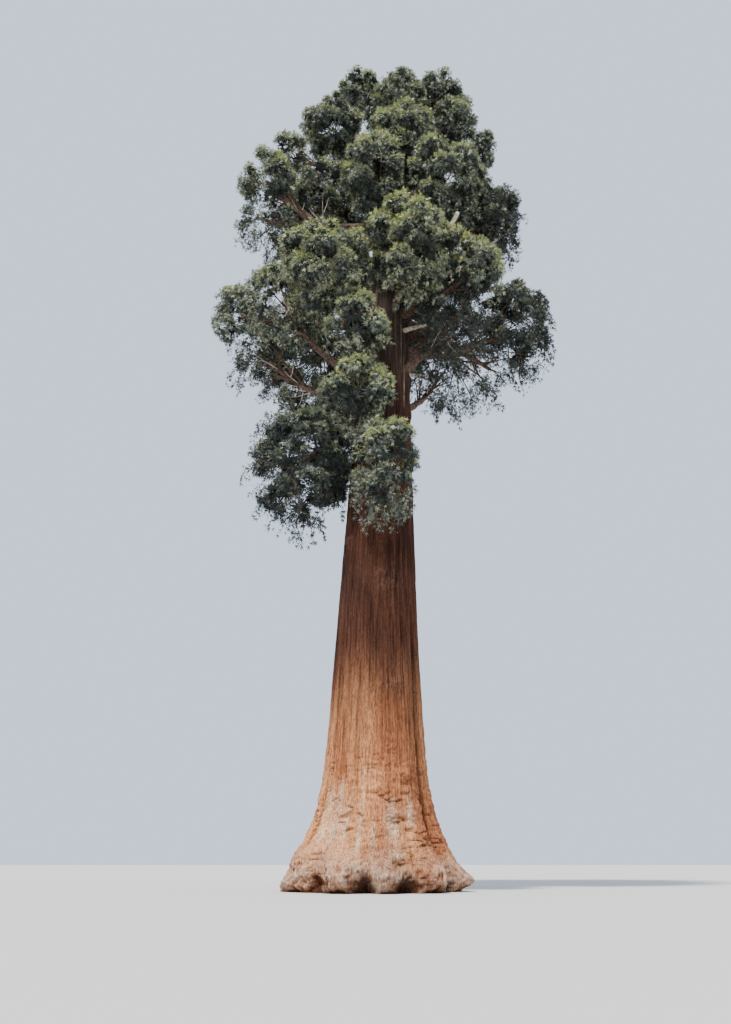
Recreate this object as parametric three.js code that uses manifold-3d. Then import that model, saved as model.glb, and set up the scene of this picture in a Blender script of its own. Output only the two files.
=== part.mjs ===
// An old giant sequoia: a flared red trunk that runs to its tip, the main boughs,
// and the masses of foliage that they carry.
// Millimetres, +Z up. The origin is the middle of the flat cut under the trunk.
// The viewer of the tree stands at -Y, so the front of the crown is its -Y side.
import * as THREE from 'three';
import { mergeVertices } from 'three/addons/utils/BufferGeometryUtils.js';
import Module from 'manifold-3d';

const wasm = await Module();
wasm.setup();

// Trunk
const TREE_TOP = 40000;
const TRUNK_TIP = 38200;
const TOP_LEAN = 1650;
const LEAN_POWER = 1.6;
const STEM_RADIUS = 1620;
const STEM_END = 39600;
const STEM_TAPER = 0.72;
const SKIRT_RADIUS = 700;
const SKIRT_HEIGHT = 1600;
const SWELL_RADIUS = 360;
const SWELL_HEIGHT = 4000;
const FOOT_SIDES = 48;
const FOOT_TOP = 4000;
const STEM_SIDES = 24;
const TRUNK_LEVELS = [
  0, 250, 500, 800, 1150, 1600, 2200, 3000, 4000, 5500, 7500, 10000, 13000,
  16000, 19000, 22000, 25000, 28000, 31000, 33500, 35500, 37000, 37900,
];

// Burls and root buttresses round the foot: heading and width in degrees, how far
// each stands out, and the height of its crest and of its upper and lower slopes
const BURLS = [
  { heading: -168, width: 16, out: 260, crest: 0, slope: 380 },
  { heading: -152, width: 14, out: 230, crest: 900, slope: 480 },
  { heading: -114, width: 16, out: 330, crest: 420, slope: 470 },
  { heading: -83, width: 10, out: 260, crest: 380, slope: 340 },
  { heading: -54, width: 13, out: 360, crest: 400, slope: 400 },
  { heading: -12, width: 15, out: 310, crest: 360, slope: 330 },
  { heading: 26, width: 14, out: 300, crest: 420, slope: 480 },
  { heading: 68, width: 16, out: 340, crest: 500, slope: 560 },
  { heading: 108, width: 14, out: 280, crest: 400, slope: 420 },
  { heading: 148, width: 15, out: 320, crest: 520, slope: 560 },
];

// Creases between the buttresses: depth at the ground, and the height over which
// each one fades by about two thirds
const CREASES = [
  { heading: -130, width: 9, depth: 130, fade: 3500 },
  { heading: -97, width: 7, depth: 260, fade: 900 },
  { heading: -70, width: 8, depth: 170, fade: 1300 },
  { heading: -34, width: 9, depth: 260, fade: 5500 },
  { heading: 8, width: 9, depth: 200, fade: 4500 },
  { heading: 48, width: 9, depth: 220, fade: 5000 },
  { heading: 88, width: 9, depth: 190, fade: 3500 },
  { heading: 128, width: 9, depth: 220, fade: 5000 },
  { heading: 176, width: 9, depth: 190, fade: 4000 },
];

// Limbs
const SEAT_GAP = 0.3;
const LIMB_SIDES = 6;
const LIMB_STEPS = 4;
const LIMB_ROOT = 60;
const LIMB_ROOT_PER_REACH = 0.032;
const LIMB_TAPER = 0.62;
const LIMB_ELBOW = 0.58;
const LIMB_SAG = 0.05;
const COLLAR = 0.45;
const COLLAR_LENGTH = 2.2;
const LIMB_CLEARANCE = 45;
const TRUNK_CLEARANCE = 110;
const CLEARANCE_SIDES = 12;
const ROUNDING = 0.001;

// Foliage
const ENTRY = 0.93;
const ENTRY_STEP = 0.002;
const SPACE_GAP = 0.06;
const TUFT_RADIUS = 820;
const TUFTS_PER_SQUARE_METRE = 3;
const TUFT_SPREAD = 0.3;
const TUFT_TURN = 0.5;
const TUFT_REACH = 0.14;
const HOLLOW_SHARE = 0.78;
const CORE_SHARE = 0.9;
const OPEN_CORE_SHARE = 0.8;
const CONTACT_SHARE = 0.97;
const REACH_STEP = 0.01;
const LARGE_MASS = 1850;
const FINE_DETAIL = 2;
const COARSE_DETAIL = 1;
const GOLDEN_ANGLE = Math.PI * (3 - Math.sqrt(5));

// Sprigs: a three-sided stalk that broadens into a spray of needles, a toothed blade
const SPRIG_DEPTH = 0.24;
const SPRIG_FAN = 0.7;
const SPRIG_SHORTENING = [1, 0.8];
const SPRIG_LEAST = 300;
const SPRIG_MOST = 1400;
const SPRIG_STEP = 20;
const STALK_RADIUS = 24;
const BLADE_MIDDLE = 0.55;
const BLADE_LIFT = 0.035;
const TOOTH = [0.68, 0.3];
const NOTCH = [0.7, 0.12];
const FREE_REACH = 0.94;

// Masses of foliage. The root is the height at which the limb leaves the trunk, the
// heading is in degrees from +X, and reach and rise lead from there to the middle of
// the mass. Wide, deep and high are half sizes along X, Y and Z. A mass with a bough
// is carried by a limb of its own, and any other by its stem, straight off the trunk.
const MASSES = [
  { name: 'top_leader', root: 36100, heading: 157, reach: 2000, rise: 2100,
    wide: 1500, deep: 1400, high: 2150 },
  { name: 'top_middle', root: 34900, heading: 75, reach: 1000, rise: 1900,
    wide: 2200, deep: 2200, high: 2950 },
  { name: 'top_right', root: 36000, heading: 14, reach: 2300, rise: 1800,
    wide: 1500, deep: 1500, high: 1550 },
  { name: 'upper_right', root: 34200, heading: 12, reach: 3150, rise: 1400,
    wide: 1500, deep: 1600, high: 2200, bough: true },
  { name: 'right_spur', root: 31700, heading: 4, reach: 4250, rise: 1400,
    wide: 1050, deep: 1200, high: 1650, bough: true },
  { name: 'upper_left', root: 33300, heading: 175, reach: 3150, rise: 1200,
    wide: 1950, deep: 1900, high: 2150, bough: true },
  { name: 'upper_middle', root: 30400, heading: -62, reach: 1300, rise: 1400,
    wide: 2250, deep: 1700, high: 2900 },
  { name: 'upper_front', root: 27700, heading: -111, reach: 2050, rise: 800,
    wide: 1750, deep: 1750, high: 3000 },
  { name: 'left_shoulder', root: 31900, heading: 173, reach: 5050, rise: 800,
    wide: 1650, deep: 1750, high: 1850, bough: true },
  { name: 'left_arm', root: 26300, heading: -167, reach: 5750, rise: 2500,
    wide: 1550, deep: 1750, high: 2100, bough: true },
  { name: 'left_elbow', root: 27300, heading: -176, reach: 5700, rise: -150,
    wide: 1800, deep: 1900, high: 1800, bough: true, open: true },
  { name: 'inner_left', root: 28900, heading: 166, reach: 3350, rise: 1000,
    wide: 2300, deep: 2250, high: 3000, bough: true },
  { name: 'right_crown', root: 27100, heading: -34, reach: 2850, rise: 1000,
    wide: 2350, deep: 2300, high: 3300 },
  { name: 'right_shoulder', root: 26400, heading: -2, reach: 4650, rise: 1150,
    wide: 1750, deep: 2150, high: 2900, bough: true },
  { name: 'front_centre', root: 21600, heading: -71, reach: 3050, rise: 1500,
    wide: 2300, deep: 2000, high: 2800, bough: true },
  { name: 'front_left', root: 20900, heading: -132, reach: 3650, rise: 1200,
    wide: 2500, deep: 2100, high: 2500, bough: true },
  { name: 'left_mid', root: 18700, heading: -168, reach: 4350, rise: 3300,
    wide: 1850, deep: 2000, high: 2700, bough: true },
  { name: 'left_far', root: 21800, heading: 176, reach: 6350, rise: 600,
    wide: 1600, deep: 1900, high: 1800, bough: true },
  { name: 'left_low', root: 17900, heading: 170, reach: 4950, rise: 2400,
    wide: 2050, deep: 2000, high: 1950, bough: true, open: true },
  { name: 'right_front', root: 21700, heading: -36, reach: 4250, rise: 500,
    wide: 1500, deep: 1500, high: 2000, bough: true },
  { name: 'right_mid', root: 18800, heading: -25, reach: 3100, rise: 2100,
    wide: 1750, deep: 1850, high: 2600, bough: true },
  { name: 'right_far', root: 20100, heading: 4, reach: 5650, rise: 1500,
    wide: 1850, deep: 2250, high: 2900, bough: true },
  { name: 'right_low', root: 21300, heading: 16, reach: 4750, rise: -1100,
    wide: 1750, deep: 1900, high: 1800, bough: true },
  { name: 'right_under', root: 17500, heading: 33, reach: 3000, rise: 2500,
    wide: 1900, deep: 2000, high: 1950, bough: true, open: true },
  { name: 'centre_low', root: 18700, heading: -112, reach: 2750, rise: 600,
    wide: 1500, deep: 1450, high: 2000 },
  { name: 'low_front_left', root: 15900, heading: -112, reach: 2600, rise: 400,
    wide: 1650, deep: 1500, high: 2100 },
  { name: 'low_left', root: 15900, heading: -170, reach: 3150, rise: -1500,
    wide: 2300, deep: 2050, high: 3150, open: true },
  { name: 'low_front', root: 14700, heading: -88, reach: 2650, rise: -1600,
    wide: 1400, deep: 1500, high: 2900 },
  { name: 'back_upper', root: 32600, heading: 97, reach: 2400, rise: 600,
    wide: 2900, deep: 2500, high: 3900 },
  { name: 'back_left', root: 27200, heading: 133, reach: 4650, rise: 1800,
    wide: 2900, deep: 2800, high: 4100, bough: true },
  { name: 'back_right', root: 29000, heading: 46, reach: 4450, rise: 400,
    wide: 2900, deep: 2800, high: 4100, bough: true },
  { name: 'back_middle', root: 25200, heading: 87, reach: 4100, rise: 200,
    wide: 3100, deep: 2700, high: 4300, bough: true },
  { name: 'back_low_left', root: 22400, heading: 136, reach: 5050, rise: 0,
    wide: 2900, deep: 2700, high: 3500, bough: true },
  { name: 'back_low_right', root: 22600, heading: 44, reach: 5200, rise: -200,
    wide: 2800, deep: 2700, high: 3300, bough: true },
  { name: 'back_low', root: 18300, heading: 107, reach: 2950, rise: -400,
    wide: 2500, deep: 2200, high: 3500 },
];

// The dead limb in front: bare, and broken off short
const DEAD_LIMB = { name: 'dead_limb', root: 23600, heading: -44, reach: 4000, rise: 1600 };

// Colours
const BARK_COLOUR = 0x8a4a2e;
const LIMB_COLOUR = 0x5e3d2c;
const DEAD_COLOUR = 0xb9ada0;
const FOLIAGE_COLOURS = [0x3f5230, 0x4b5f36, 0x56683c];
const BARK_ROUGHNESS = 0.95;
const LIMB_ROUGHNESS = 0.9;
const FOLIAGE_ROUGHNESS = 0.85;

const radians = THREE.MathUtils.degToRad;

// Repeatable random numbers from 0 to 1
const DICE_STEP = 1664525;
const DICE_SHIFT = 1013904223;
const DICE_RANGE = 4294967296;
const SEED_STEP = 7919;

function dice(seed) {
  let state = seed * SEED_STEP;
  return () => {
    state = (state * DICE_STEP + DICE_SHIFT) % DICE_RANGE;
    return state / DICE_RANGE;
  };
}

// A geometry with shared vertices and no collapsed triangles
function welded(geometry) {
  geometry.deleteAttribute('normal');
  geometry.deleteAttribute('uv');
  const merged = mergeVertices(geometry);
  const whole = [];
  const index = merged.index.array;
  for (let i = 0; i < index.length; i += 3) {
    const [a, b, c] = index.slice(i, i + 3);
    if (a !== b && b !== c && c !== a) whole.push(a, b, c);
  }
  merged.setIndex(whole);
  return merged;
}

// Moves every vertex of a welded geometry by a function of its place
function moulded(geometry, place) {
  const points = geometry.attributes.position;
  const point = new THREE.Vector3();
  for (let i = 0; i < points.count; i += 1) {
    point.fromBufferAttribute(points, i);
    points.setXYZ(i, ...place(point).toArray());
  }
  return geometry;
}

function solidOf(geometry) {
  return new wasm.Manifold(new wasm.Mesh({
    numProp: 3,
    vertProperties: new Float32Array(geometry.attributes.position.array),
    triVerts: new Uint32Array(geometry.index.array),
  }));
}

// Keeps the largest body of a solid, so that no scrap cut loose stays with it
function largestBody(solid) {
  return solid.decompose().reduce((best, body) => (body.volume() > best.volume() ? body : best));
}

function meshOf(name, solid, colour, roughness) {
  const { vertProperties, triVerts } = largestBody(solid).getMesh();
  const geometry = new THREE.BufferGeometry();
  geometry.setAttribute('position', new THREE.BufferAttribute(vertProperties, 3));
  geometry.setIndex(new THREE.BufferAttribute(triVerts, 1));
  geometry.computeBoundingBox();
  const middle = geometry.boundingBox.getCenter(new THREE.Vector3());
  geometry.translate(-middle.x, -middle.y, -middle.z);
  geometry.computeVertexNormals();
  const material = new THREE.MeshStandardMaterial({ color: colour, roughness, metalness: 0 });
  const mesh = new THREE.Mesh(geometry, material);
  mesh.name = name;
  mesh.position.copy(middle);
  return mesh;
}

// Trunk

function trunkAxis(height) {
  return new THREE.Vector3(TOP_LEAN * (height / TREE_TOP) ** LEAN_POWER, 0, height);
}

function headingOf(degrees) {
  return new THREE.Vector3(Math.cos(radians(degrees)), Math.sin(radians(degrees)), 0);
}

// 1 at the heading of a burl or crease, and near 0 beyond its width
function nearness(angle, feature) {
  const turn = Math.atan2(
    Math.sin(angle - radians(feature.heading)),
    Math.cos(angle - radians(feature.heading)),
  );
  return Math.exp(-((turn / radians(feature.width)) ** 2));
}

function meanRadius(height) {
  const stem = STEM_RADIUS * (1 - height / STEM_END) ** STEM_TAPER;
  const skirt = SKIRT_RADIUS * Math.exp(-((height / SKIRT_HEIGHT) ** 2));
  return stem + skirt + SWELL_RADIUS * Math.exp(-height / SWELL_HEIGHT);
}

function trunkRadius(height, angle) {
  let radius = meanRadius(height);
  for (const burl of BURLS) {
    const lift = Math.exp(-(((height - burl.crest) / burl.slope) ** 2));
    radius += burl.out * lift * nearness(angle, burl);
  }
  for (const crease of CREASES) {
    radius -= crease.depth * Math.exp(-height / crease.fade) * nearness(angle, crease);
  }
  return radius;
}

// The trunk as a turned blank of radius 1, given its true radius at every point and
// its lean. Above the foot every second vertex of a ring joins the one before it. The
// spare is a margin all round and past the tip, for clearance.
function trunkSolid(footSides, spare) {
  const profile = [new THREE.Vector2(0, TRUNK_LEVELS[0])];
  for (const level of TRUNK_LEVELS) profile.push(new THREE.Vector2(1, level));
  profile.push(new THREE.Vector2(0, TRUNK_TIP));
  const blank = welded(new THREE.LatheGeometry(profile, footSides));
  const stemStep = (2 * Math.PI) / STEM_SIDES;
  const trunk = moulded(blank, (point) => {
    const exact = Math.atan2(-point.z, point.x);
    const coarse = stemStep * Math.floor(exact / stemStep + ROUNDING);
    const angle = point.y > FOOT_TOP ? coarse : exact;
    const rim = Math.round(Math.hypot(point.x, point.z));
    const radius = rim * (trunkRadius(point.y, angle) + spare);
    const place = trunkAxis(point.y);
    place.x += radius * Math.cos(angle);
    place.y += radius * Math.sin(angle);
    if (point.y === TRUNK_TIP) place.z += spare;
    return place;
  });
  return solidOf(welded(trunk));
}

// Limbs

// The line of a limb from the trunk's axis, out and a little down to its elbow, then
// up to the middle of its mass
function limbLine({ root, heading, reach, rise }) {
  const start = trunkAxis(root);
  const out = headingOf(heading);
  const elbow = start.clone().addScaledVector(out, LIMB_ELBOW * reach);
  elbow.z -= LIMB_SAG * reach;
  const end = start.clone().addScaledVector(out, reach);
  end.z += rise;
  return new THREE.QuadraticBezierCurve3(start, elbow, end);
}

// A tapering limb between two shares of its line. Its collar swells at the trunk.
function limbSolid(limb, from, to, spare = 0) {
  const line = limbLine(limb);
  const rootRadius = LIMB_ROOT + LIMB_ROOT_PER_REACH * limb.reach;
  const trunkSide = meanRadius(limb.root);
  const blank = welded(new THREE.CylinderGeometry(1, 1, 1, LIMB_SIDES, LIMB_STEPS));
  const shaped = moulded(blank, (point) => {
    const share = from + (point.y + 0.5) * (to - from);
    const middle = line.getPoint(share);
    const along = line.getTangent(share);
    const side = along.clone().cross(THREE.Object3D.DEFAULT_UP).normalize();
    const over = side.clone().cross(along);
    const clear = Math.max(share * limb.reach - trunkSide, 0);
    const collar = COLLAR * Math.exp(-clear / (COLLAR_LENGTH * rootRadius));
    const radius = rootRadius * (1 - LIMB_TAPER * share + collar) + spare;
    return middle.addScaledVector(side, point.x * radius).addScaledVector(over, point.z * radius);
  });
  return solidOf(shaped);
}

// The share of a limb's line at which it enters its mass
function entryShare(mass) {
  const line = limbLine(mass);
  let share = 1;
  while (depthIn(mass, line.getPoint(share)) < ENTRY) share -= ENTRY_STEP;
  return share;
}

// Foliage

function meanSize(mass) {
  return Math.cbrt(mass.wide * mass.deep * mass.high);
}

// 0 in the middle of a mass, 1 on its outer surface
function depthIn(mass, point) {
  return Math.hypot(
    (point.x - mass.middle.x) / mass.wide,
    (point.y - mass.middle.y) / mass.deep,
    (point.z - mass.middle.z) / mass.high,
  );
}

function placeIn(mass, direction, share) {
  const { middle } = mass;
  return new THREE.Vector3(
    middle.x + share * direction.x * mass.wide,
    middle.y + share * direction.y * mass.deep,
    middle.z + share * direction.z * mass.high,
  );
}

// Each mass keeps to its own space: inside its surface, under the treetop, and
// nearer to its own middle than to any other's
function inSpace(mass, point) {
  const depth = depthIn(mass, point);
  if (depth > 1 || point.z > TREE_TOP) return false;
  return MASSES.every((other) => other === mass || depthIn(other, point) > depth + SPACE_GAP);
}

// The tufts of a mass: round clumps set evenly over its surface, as shares of its size
function tuftsOf(mass) {
  const roll = dice(mass.seed);
  const size = meanSize(mass);
  const count = Math.round(TUFTS_PER_SQUARE_METRE * (size / 1000) ** 2);
  const turn = 2 * Math.PI * roll();
  const tufts = [];
  for (let k = 0; k < count; k += 1) {
    const height = 1 - (2 * k + 1) / count;
    const ring = Math.sqrt(1 - height * height);
    const angle = turn + k * GOLDEN_ANGLE + TUFT_TURN * (roll() - 0.5);
    const radius = (TUFT_RADIUS / size) * (1 + TUFT_SPREAD * (roll() - 0.5));
    const reach = 1 - TUFT_REACH * roll();
    const direction = new THREE.Vector3(ring * Math.cos(angle), ring * Math.sin(angle), height);
    tufts.push({ direction, radius, middle: direction.clone().multiplyScalar(reach - radius) });
  }
  return tufts;
}

// How far the tufts reach in a direction, as a share of the mass's size
function tuftReach(tufts, direction) {
  let reach = HOLLOW_SHARE;
  for (const { middle, radius } of tufts) {
    const along = direction.dot(middle);
    const rest = along * along - middle.lengthSq() + radius * radius;
    if (rest > 0) reach = Math.max(reach, along + Math.sqrt(rest));
  }
  return Math.min(reach, 1);
}

function spaceReach(mass, direction) {
  let share = 0;
  while (share < 1 && inSpace(mass, placeIn(mass, direction, share + REACH_STEP))) {
    share += REACH_STEP;
  }
  return share;
}

function coreShare(mass) {
  return mass.open ? OPEN_CORE_SHARE : CORE_SHARE;
}

// The dense middle of a mass, lumped like its tufts
function coreSolid(mass, tufts) {
  const detail = meanSize(mass) > LARGE_MASS ? FINE_DETAIL : COARSE_DETAIL;
  const core = welded(new THREE.IcosahedronGeometry(1, detail));
  return solidOf(moulded(core, (point) => {
    const direction = point.clone().normalize();
    const reach = Math.min(
      coreShare(mass) * tuftReach(tufts, direction),
      CONTACT_SHARE * spaceReach(mass, direction),
    );
    return placeIn(mass, direction, reach);
  }));
}

// The corners of a sprig: three round the root of its stalk, then the blade's two
// teeth, two notches and tip, and the middle of its upper and of its lower face
function sprigPoints(root, along, side, length) {
  const face = new THREE.Vector3().crossVectors(side, along);
  const at = (out, across, lift) => root.clone()
    .addScaledVector(along, out * length)
    .addScaledVector(side, across * length)
    .addScaledVector(face, lift * length);
  const stalk = STALK_RADIUS / length;
  return [
    at(0, stalk, stalk / 2), at(0, -stalk, stalk / 2), at(0, 0, -stalk),
    at(TOOTH[0], TOOTH[1], 0), at(TOOTH[0], -TOOTH[1], 0),
    at(NOTCH[0], NOTCH[1], 0), at(NOTCH[0], -NOTCH[1], 0), at(1, 0, 0),
    at(BLADE_MIDDLE, 0, BLADE_LIFT), at(BLADE_MIDDLE, 0, -BLADE_LIFT),
  ];
}

const SPRIG_FACES = [
  [0, 1, 2],
  [1, 0, 8], [0, 3, 8], [8, 4, 1],
  [0, 2, 3], [3, 2, 9], [2, 1, 4], [9, 2, 4],
  [8, 3, 5], [8, 5, 7], [8, 7, 6], [8, 6, 4],
  [9, 5, 3], [9, 7, 5], [9, 6, 7], [9, 4, 6],
];

function sprigSolid(points) {
  const geometry = new THREE.BufferGeometry().setFromPoints(points);
  geometry.setIndex(SPRIG_FACES.flat());
  return solidOf(geometry);
}

function anyDirection(roll) {
  return new THREE.Vector3(roll() - 0.5, roll() - 0.5, roll() - 0.5);
}

// A sprig that grows from a root out to the edge of its mass. One that would leave
// the space or touch a limb is made shorter, and then skipped.
function grownSprig(mass, root, along, side, obstacles) {
  let full = 0;
  while (full < SPRIG_MOST && inSpace(mass, root.clone().addScaledVector(along, full))) {
    full += SPRIG_STEP;
  }
  for (const share of SPRIG_SHORTENING) {
    const length = share * full;
    const points = sprigPoints(root, along, side, length);
    if (length < SPRIG_LEAST) return null;
    if (!points.every((point) => inSpace(mass, point))) continue;
    const sprig = sprigSolid(points);
    if (sprig.intersect(obstacles).isEmpty()) return sprig;
  }
  return null;
}

// What stands out of a mass: a sprig from its highest tuft and from each one that
// reaches far into open air, rooted in the core
function greenery(mass, tufts, obstacles) {
  const roll = dice(mass.seed + MASSES.length);
  const sprigs = [];
  for (const { direction } of tufts) {
    const reach = Math.min(tuftReach(tufts, direction), spaceReach(mass, direction));
    const fan = anyDirection(roll).multiplyScalar(SPRIG_FAN);
    const turn = anyDirection(roll);
    if (reach < FREE_REACH && direction !== tufts[0].direction) continue;
    const root = placeIn(mass, direction, reach * coreShare(mass) - SPRIG_DEPTH);
    const along = root.clone().sub(mass.middle).normalize().add(fan).normalize();
    const side = turn.cross(along).normalize();
    const sprig = grownSprig(mass, root, along, side, obstacles);
    if (sprig) sprigs.push(sprig);
  }
  return sprigs;
}

// The tree

MASSES.forEach((mass, order) => {
  mass.seed = order + 1;
  mass.middle = limbLine(mass).getPoint(1);
  mass.entry = entryShare(mass);
});

const trunk = trunkSolid(FOOT_SIDES, 0);
const trunkSeat = trunkSolid(FOOT_SIDES, SEAT_GAP);
const trunkSpace = trunkSolid(CLEARANCE_SIDES, TRUNK_CLEARANCE);

const giantSequoia = new THREE.Group();
giantSequoia.add(meshOf('trunk', trunk, BARK_COLOUR, BARK_ROUGHNESS));

const boughs = new THREE.Group();
const deadLimb = limbSolid(DEAD_LIMB, 0, 1).subtract(trunkSeat);
boughs.add(meshOf(DEAD_LIMB.name, deadLimb, DEAD_COLOUR, LIMB_ROUGHNESS));
for (const mass of MASSES.filter(({ bough }) => bough)) {
  const bough = limbSolid(mass, 0, mass.entry).subtract(trunkSeat);
  boughs.add(meshOf(`bough_${mass.name}`, bough, LIMB_COLOUR, LIMB_ROUGHNESS));
}
giantSequoia.add(boughs);

// What every other limb needs of the space round a mass
function limbSpace(mass) {
  const others = MASSES.filter((other) => other !== mass);
  const limbs = others.map((other) => limbSolid(other, 0, 1, LIMB_CLEARANCE));
  if (mass.bough) limbs.push(limbSolid(mass, 0, mass.entry, LIMB_CLEARANCE));
  limbs.push(limbSolid(DEAD_LIMB, 0, 1, LIMB_CLEARANCE));
  return wasm.Manifold.union(limbs);
}

const foliage = new THREE.Group();
MASSES.forEach((mass, order) => {
  const tufts = tuftsOf(mass);
  const obstacles = limbSpace(mass).add(trunkSpace);
  const seat = SEAT_GAP / limbLine(mass).getLength();
  const stemStart = mass.bough ? mass.entry + seat : 0;
  const stem = limbSolid(mass, stemStart, 1).subtract(trunkSeat);
  const core = coreSolid(mass, tufts).subtract(obstacles);
  const green = wasm.Manifold.union([core, stem, ...greenery(mass, tufts, obstacles)]);
  const colour = FOLIAGE_COLOURS[order % FOLIAGE_COLOURS.length];
  foliage.add(meshOf(`foliage_${mass.name}`, green, colour, FOLIAGE_ROUGHNESS));
});
giantSequoia.add(foliage);

export default giantSequoia;
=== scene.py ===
"""An old giant sequoia, dressed: furrowed bark, boughs, twigs and sprays of foliage.

Metres, +Z up. The limbs and masses follow the same rule and sizes as the solids, and the
foliage is carried on from there: mass, tuft, clump, then spray. Headings, and widths round
the trunk, are in degrees.
"""
import math
from types import SimpleNamespace

import bpy
import numpy as np
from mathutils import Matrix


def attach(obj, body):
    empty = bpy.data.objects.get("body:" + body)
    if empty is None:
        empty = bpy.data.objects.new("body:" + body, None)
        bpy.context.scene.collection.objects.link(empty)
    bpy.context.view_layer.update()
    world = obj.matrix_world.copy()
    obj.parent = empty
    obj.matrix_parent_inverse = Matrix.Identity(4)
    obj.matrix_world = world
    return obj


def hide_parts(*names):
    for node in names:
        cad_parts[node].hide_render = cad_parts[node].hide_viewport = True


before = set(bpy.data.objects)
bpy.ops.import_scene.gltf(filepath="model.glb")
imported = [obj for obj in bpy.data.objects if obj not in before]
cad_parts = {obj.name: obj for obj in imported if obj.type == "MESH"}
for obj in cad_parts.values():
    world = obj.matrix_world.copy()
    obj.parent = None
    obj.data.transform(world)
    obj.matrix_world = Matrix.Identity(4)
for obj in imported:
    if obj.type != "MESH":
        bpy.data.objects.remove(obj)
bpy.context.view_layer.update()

# Trunk
TREE_TOP = 40.0
TRUNK_TIP = 38.2
TIP_START = 37.0
TIP_HEIGHT = 0.3
TOP_LEAN = 1.65
LEAN_POWER = 1.6
STEM_RADIUS = 1.62
STEM_END = 39.6
STEM_TAPER = 0.72
SKIRT_RADIUS = 0.7
SKIRT_HEIGHT = 1.6
SWELL_RADIUS = 0.36
SWELL_HEIGHT = 4.0

# Stretches of the trunk: lowest and highest height, sides and rings
TRUNK_STRETCHES = {
    "trunk_foot": (0.0, 4.0, 620, 150),
    "trunk_stem": (4.0, 18.0, 400, 230),
    "trunk_top": (18.0, 37.9, 200, 180),
}

# Burls: heading, width, how far it stands out, height of its crest and slopes
BURLS = [
    (-168, 16, 0.26, 0.00, 0.38),
    (-152, 14, 0.23, 0.90, 0.48),
    (-114, 16, 0.33, 0.42, 0.47),
    (-83, 10, 0.26, 0.38, 0.34),
    (-54, 13, 0.36, 0.40, 0.40),
    (-12, 15, 0.31, 0.36, 0.33),
    (26, 14, 0.30, 0.42, 0.48),
    (68, 16, 0.34, 0.50, 0.56),
    (108, 14, 0.28, 0.40, 0.42),
    (148, 15, 0.32, 0.52, 0.56),
]

# Creases: heading, width, depth at the ground, height over which it fades
CREASES = [
    (-130, 9, 0.13, 3.5),
    (-97, 7, 0.26, 0.9),
    (-70, 8, 0.17, 1.3),
    (-34, 9, 0.26, 5.5),
    (8, 9, 0.20, 4.5),
    (48, 9, 0.22, 5.0),
    (88, 9, 0.19, 3.5),
    (128, 9, 0.22, 5.0),
    (176, 9, 0.19, 4.0),
]
# Hollows under the burls and at the foot of the creases, which sink the bark and darken it with painted
# shadow
SHORT_CREASE = 2.0
LONG_CREASE_HOLLOW = 0.6
HOLLOW_HEIGHT = 0.42
UNDERCUT = 0.5
UNDERCUT_HEIGHT = 0.12

# Pale streaks down the bark: heading, width, lowest and highest height, and how pale
STREAKS = [
    (-128, 5.0, 0.8, 3.2, 1.0),
    (-117, 2.6, 1.0, 2.7, 1.0),
    (-103, 1.9, 0.8, 3.5, 1.0),
    (-92, 2.8, 0.8, 2.0, 1.0),
    (-75, 6.0, 0.4, 2.6, 1.0),
    (-56, 4.0, 1.5, 2.8, 1.0),
    (-140, 5.0, 1.0, 3.0, 1.0),
    (20, 4.5, 0.8, 3.6, 1.0),
    (74, 5.0, 0.9, 4.0, 1.0),
    (120, 4.5, 0.8, 3.4, 1.0),
    (165, 4.0, 1.0, 4.0, 1.0),
    (-40, 2.2, 16.8, 19.8, 0.5),
    (-49, 1.6, 18.2, 21.8, 0.4),
    (-68, 2.4, 20.0, 24.0, 0.3),
    (-120, 3.5, 19.0, 26.0, 0.25),
]
STREAK_FADES = (0.5, 0.9)
STREAK_SWAY = 0.8
STREAK_STRENGTH = 0.95

# Deep folds, which sink the bark and darken it with painted shadow: heading, width, lowest and highest
# height, and how deep
FOLDS = [
    (-31, 3.4, 0.8, 9.5, 1.0),
    (-150, 2.6, 0.9, 4.5, 1.0),
    (46, 3.2, 0.8, 8.0, 1.0),
    (128, 3.0, 0.8, 7.0, 1.0),
    (-178, 3.0, 0.8, 6.0, 1.0),
]
FOLD_FADES = (0.6, 2.5)
FOLD_SWAY = 0.9

# Ledges of swollen bark over gashes, grooves darkened as the ledges' painted shadow: heading, width,
# height and how far each stands out
LEDGES = [
    (-61, 11, 3.15, 0.06),
    (-67, 13, 2.05, 0.08),
    (-113, 4, 2.35, 0.01),
    (-104, 5, 2.15, 0.03),
    (-112, 5, 1.75, 0.02),
    (-94, 6, 2.75, 0.02),
    (-88, 5, 1.55, 0.03),
    (-48, 6, 1.5, 0.02),
    (-126, 6, 2.6, 0.02),
    (-30, 7, 2.2, 0.05),
    (30, 10, 2.4, 0.06),
    (66, 9, 1.9, 0.04),
    (96, 8, 3.0, 0.06),
    (140, 10, 2.1, 0.06),
    (-164, 8, 2.5, 0.05),
]
LEDGE_SLOPE = 0.14
# Where the gash with the ledge's painted shadow lies under each ledge: drop, jag and width
GASH_DROP = 0.16
GASH_JAG = 0.05
GASH_WIDTH = 0.04

# Knots on the stem: heading, height, radius and how far it stands out
KNOTS = [
    (-10, 18.4, 0.30, 0.16),
    (-4, 20.6, 0.26, 0.14),
    (-8, 16.9, 0.24, 0.12),
    (-60, 13.2, 0.30, 0.10),
    (-150, 11.0, 0.34, 0.12),
    (100, 12.0, 0.34, 0.12),
    (60, 17.0, 0.30, 0.12),
    (-74, 9.4, 0.42, 0.08),
    (-70, 5.9, 0.36, 0.08),
]
KNOT_LUMPS = 0.3

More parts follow.
